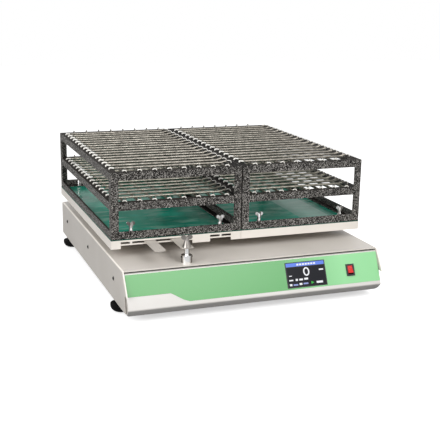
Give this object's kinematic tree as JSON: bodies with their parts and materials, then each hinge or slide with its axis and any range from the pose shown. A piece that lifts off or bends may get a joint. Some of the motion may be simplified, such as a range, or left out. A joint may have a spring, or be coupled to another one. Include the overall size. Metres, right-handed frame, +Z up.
{
  "type": "orbital shaker",
  "caption": "Bench shaker: low steel housing with an orbiting platform that carries spring-wire flask racks; touch display and rocker switch.",
  "frame": {"origin": "centre of the footprint at the level the feet rest on", "axes": "+X to the user's right, +Y from the control panel towards the back, +Z up"},
  "size_m": [0.627, 0.6975, 0.3127],
  "materials": {
    "silver_paint": "satin warm grey powder coat",
    "skirt_paint": "satin cream powder coat",
    "panel_paint": "satin cream powder coat",
    "printed_film": "green printed polycarbonate film",
    "screen": "black touch screen window",
    "switch_black": "moulded black nylon",
    "switch_red": "moulded red rocker",
    "circuit_board": "glass-epoxy board",
    "bare_steel": "plain machined steel",
    "zinc": "bright zinc plate",
    "chrome": "polished chrome plate",
    "cast_plate": "machined aluminium",
    "motor_black": "black enamel",
    "belt_rubber": "moulded black neoprene",
    "foot_rubber": "moulded black rubber",
    "mat_rubber": "glossy dark green mat",
    "rack_paint": "black and silver hammertone paint",
    "spring_steel": "drawn stainless spring wire"
  },
  "bodies": {
    "housing": {"base_pan": "silver_paint", "base_cover": "silver_paint", "rear_panel": "silver_paint", "inlet_plate": "silver_paint", "front_panel": "panel_paint", "panel_film": "printed_film", "display_module": "zinc", "display_window": "screen", "switch_housing": "switch_black", "control_board": "circuit_board", "power_supply": "zinc", "power_inlet": "switch_black", "rubber_feet": "foot_rubber", "foot_screws": "zinc", "cover_screws": "zinc", "drive_deck": "bare_steel", "deck_pillars": "bare_steel", "crank_housing": "cast_plate", "crank_bearings": "chrome", "idler_housings": "cast_plate", "idler_bearings": "chrome", "drive_motor": "motor_black", "drive_belt": "belt_rubber", "lock_post": "chrome", "post_socket": "chrome", "socket_screws": "zinc", "lock_arm": "skirt_paint"},
    "power_rocker": {"power_rocker": "switch_red"},
    "rotor": {"motor_pulley": "cast_plate"},
    "crank": {"drive_crank": "bare_steel", "drive_pulley": "cast_plate", "balance_weight": "bare_steel"},
    "idler_fl": {"idler_crank_fl": "bare_steel"},
    "idler_fr": {"idler_crank_fr": "bare_steel"},
    "idler_bl": {"idler_crank_bl": "bare_steel"},
    "idler_br": {"idler_crank_br": "bare_steel"},
    "carriage": {"carriage_plate": "cast_plate", "carriage_bearings": "chrome", "slide_rails": "bare_steel", "orbit_tab": "skirt_paint"},
    "platform": {"platform_tray": "skirt_paint", "slide_blocks": "bare_steel", "tray_nuts": "zinc", "platform_mat": "mat_rubber", "left_rack_frame": "rack_paint", "right_rack_frame": "rack_paint", "left_top_springs": "spring_steel", "left_middle_springs": "spring_steel", "right_top_springs": "spring_steel", "right_middle_springs": "spring_steel"},
    "post_wing_screw": {"post_wing_screw": "chrome"},
    "left_rack_bolt_fl": {"left_rack_bolt_fl": "chrome"},
    "left_rack_bolt_fr": {"left_rack_bolt_fr": "chrome"},
    "left_rack_bolt_bl": {"left_rack_bolt_bl": "chrome"},
    "left_rack_bolt_br": {"left_rack_bolt_br": "chrome"},
    "right_rack_bolt_fl": {"right_rack_bolt_fl": "chrome"},
    "right_rack_bolt_fr": {"right_rack_bolt_fr": "chrome"},
    "right_rack_bolt_bl": {"right_rack_bolt_bl": "chrome"},
    "right_rack_bolt_br": {"right_rack_bolt_br": "chrome"}
  },
  "joints": [
    {"name": "crank_spin", "type": "hinge", "parent": "housing", "child": "crank", "pos_m": [0, 0.076, 0.119], "axis": [0, 0, 1], "continuous": true},
    {"name": "carriage_pivot", "type": "hinge", "parent": "crank", "child": "carriage", "pos_m": [0, 0.0635, 0.128], "axis": [0, 0, 1], "continuous": true},
    {"name": "idler_fl_spin", "type": "hinge", "parent": "housing", "child": "idler_fl", "pos_m": [-0.19, -0.064, 0.119], "axis": [0, 0, 1], "continuous": true},
    {"name": "idler_fr_spin", "type": "hinge", "parent": "housing", "child": "idler_fr", "pos_m": [0.19, -0.064, 0.119], "axis": [0, 0, 1], "continuous": true},
    {"name": "idler_bl_spin", "type": "hinge", "parent": "housing", "child": "idler_bl", "pos_m": [-0.19, 0.216, 0.119], "axis": [0, 0, 1], "continuous": true},
    {"name": "idler_br_spin", "type": "hinge", "parent": "housing", "child": "idler_br", "pos_m": [0.19, 0.216, 0.119], "axis": [0, 0, 1], "continuous": true},
    {"name": "motor_spin", "type": "hinge", "parent": "housing", "child": "rotor", "pos_m": [0, -0.074, 0.077], "axis": [0, 0, 1], "continuous": true},
    {"name": "stroke_slide", "type": "slide", "parent": "carriage", "child": "platform", "axis": [0, 1, 0], "range_m": [-0.0125, 0.0125]},
    {"name": "rocker_tilt", "type": "hinge", "parent": "housing", "child": "power_rocker", "pos_m": [0.2275, -0.32795, 0.06954], "axis": [1, 0, 0], "range_deg": [0, 18]},
    {"name": "post_screw_turn", "type": "hinge", "parent": "housing", "child": "post_wing_screw", "pos_m": [-0.155, -0.292, 0.149], "axis": [0, 0, 1], "range_deg": [-180, 180]},
    {"name": "left_rack_bolt_fl_turn", "type": "hinge", "parent": "platform", "child": "left_rack_bolt_fl", "pos_m": [-0.2585, -0.2115, 0.159], "axis": [0, 0, 1], "range_deg": [-180, 180]},
    {"name": "left_rack_bolt_fr_turn", "type": "hinge", "parent": "platform", "child": "left_rack_bolt_fr", "pos_m": [-0.048, -0.2115, 0.159], "axis": [0, 0, 1], "range_deg": [-180, 180]},
    {"name": "left_rack_bolt_bl_turn", "type": "hinge", "parent": "platform", "child": "left_rack_bolt_bl", "pos_m": [-0.2585, 0.3385, 0.159], "axis": [0, 0, 1], "range_deg": [-180, 180]},
    {"name": "left_rack_bolt_br_turn", "type": "hinge", "parent": "platform", "child": "left_rack_bolt_br", "pos_m": [-0.048, 0.3385, 0.159], "axis": [0, 0, 1], "range_deg": [-180, 180]},
    {"name": "right_rack_bolt_fl_turn", "type": "hinge", "parent": "platform", "child": "right_rack_bolt_fl", "pos_m": [0.048, -0.2115, 0.159], "axis": [0, 0, 1], "range_deg": [-180, 180]},
    {"name": "right_rack_bolt_fr_turn", "type": "hinge", "parent": "platform", "child": "right_rack_bolt_fr", "pos_m": [0.2585, -0.2115, 0.159], "axis": [0, 0, 1], "range_deg": [-180, 180]},
    {"name": "right_rack_bolt_bl_turn", "type": "hinge", "parent": "platform", "child": "right_rack_bolt_bl", "pos_m": [0.048, 0.3385, 0.159], "axis": [0, 0, 1], "range_deg": [-180, 180]},
    {"name": "right_rack_bolt_br_turn", "type": "hinge", "parent": "platform", "child": "right_rack_bolt_br", "pos_m": [0.2585, 0.3385, 0.159], "axis": [0, 0, 1], "range_deg": [-180, 180]}
  ],
  "couplings": [
    {"joint": "carriage_pivot", "follows": "crank_spin", "ratio": -1},
    {"joint": "motor_spin", "follows": "crank_spin", "ratio": 4},
    {"joint": "idler_fl_spin", "follows": "crank_spin", "ratio": 1},
    {"joint": "idler_fr_spin", "follows": "crank_spin", "ratio": 1},
    {"joint": "idler_bl_spin", "follows": "crank_spin", "ratio": 1},
    {"joint": "idler_br_spin", "follows": "crank_spin", "ratio": 1}
  ]
}
